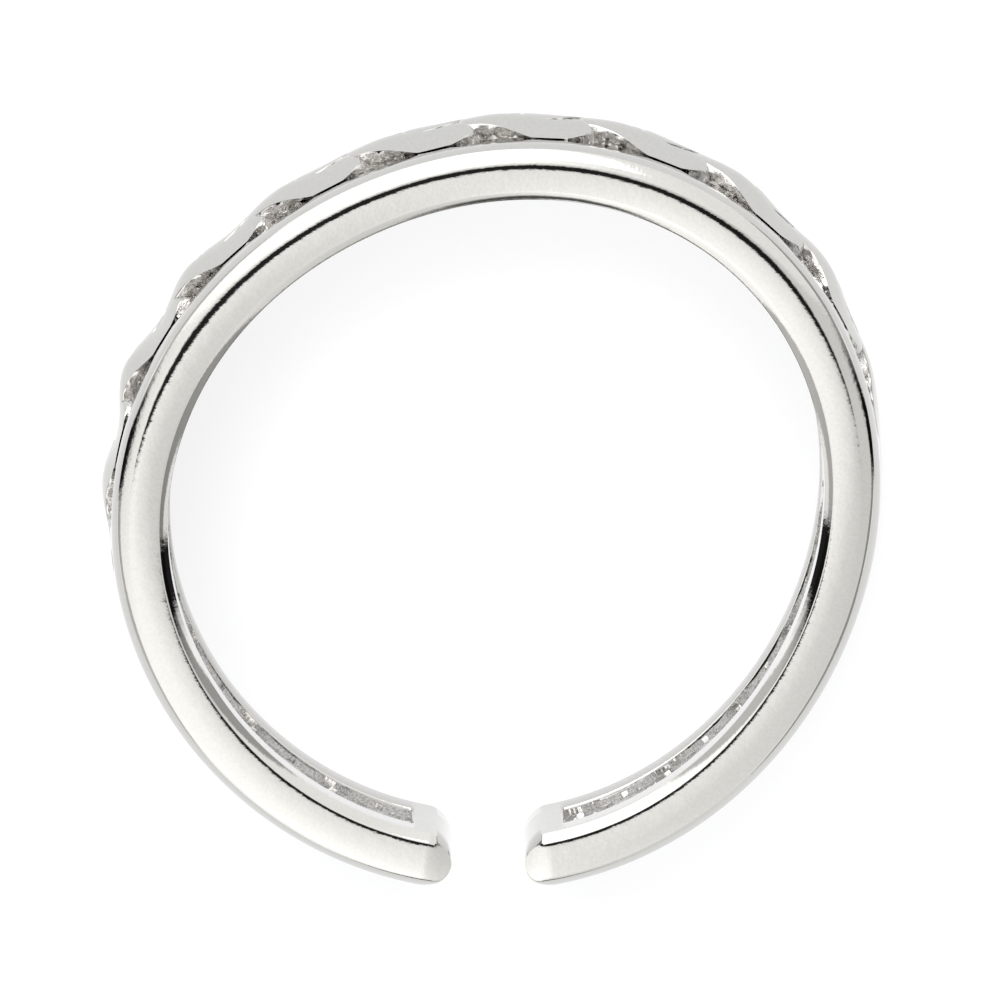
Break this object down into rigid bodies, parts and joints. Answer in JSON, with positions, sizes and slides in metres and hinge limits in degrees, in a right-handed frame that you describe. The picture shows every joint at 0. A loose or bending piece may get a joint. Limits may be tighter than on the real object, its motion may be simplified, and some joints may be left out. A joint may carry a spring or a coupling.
{
  "type": "toe ring",
  "caption": "Open toe ring with two polished rails and a raised plait between them, cast in one piece and hollowed behind the plait.",
  "frame": {"origin": "on the axis of the toe hole, at the ring's lowest face, with the ring lying on its side", "axes": "+Z along the axis of the toe hole, -Y through the gap between the two ends, +X to the right when the gap is at the bottom and the ring is looked at from +Z"},
  "size_m": [0.018, 0.018, 0.004],
  "materials": {
    "silver": "polished sterling silver, as cast in the pockets of the plait"
  },
  "bodies": {
    "root": {"band": "silver"}
  },
  "joints": []
}
